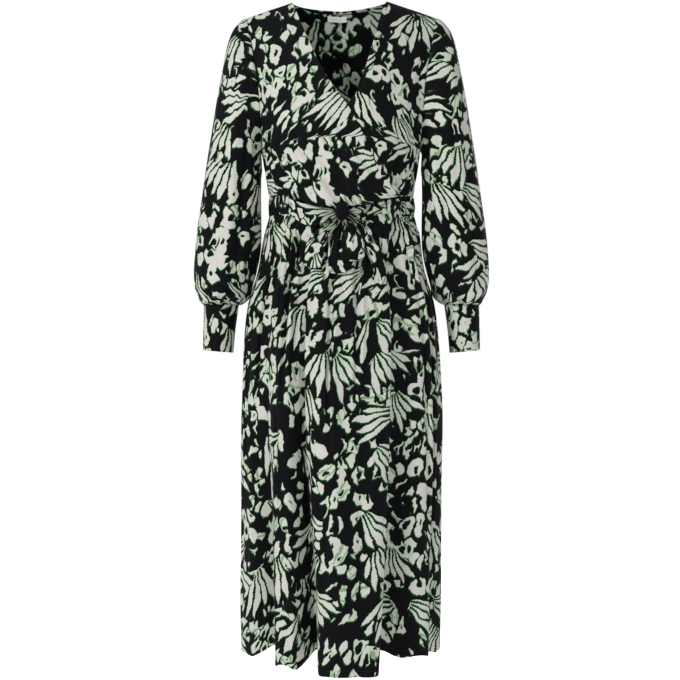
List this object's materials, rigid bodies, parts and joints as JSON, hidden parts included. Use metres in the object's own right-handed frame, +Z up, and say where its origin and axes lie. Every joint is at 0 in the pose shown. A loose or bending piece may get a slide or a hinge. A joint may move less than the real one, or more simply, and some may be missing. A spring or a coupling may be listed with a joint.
{
  "type": "wrap dress",
  "caption": "Hollow worn wrap dress: crossed V bodice, bishop sleeves gathered into deep cuffs, elastic waist with tied bow, gathered wrap skirt to mid-calf.",
  "frame": {"origin": "on the centre line at shoulder level, between the two shoulder seams, where the wearer's shoulders hold the dress", "axes": "+Z up, -Y out of the front of the dress, +X towards the wearer's left sleeve"},
  "size_m": [0.5482, 0.356, 1.2067],
  "materials": {
    "print_cloth": "smooth matte woven cloth with an all-over print, off-white on near-black",
    "label_tape": "matte woven tape, blank"
  },
  "bodies": {
    "root": {"bodice_front_over": "print_cloth", "bodice_front_under": "print_cloth", "bodice_back": "print_cloth", "sleeve_right": "print_cloth", "sleeve_left": "print_cloth", "cuff_right": "print_cloth", "cuff_left": "print_cloth", "waistband": "print_cloth", "skirt_front_over": "print_cloth", "skirt_front_under": "print_cloth", "skirt_back": "print_cloth", "tie_right": "print_cloth", "tie_left": "print_cloth", "knot": "print_cloth", "loop_right": "print_cloth", "loop_left": "print_cloth", "tail_right": "print_cloth", "tail_left": "print_cloth", "neck_label": "label_tape"}
  },
  "joints": []
}
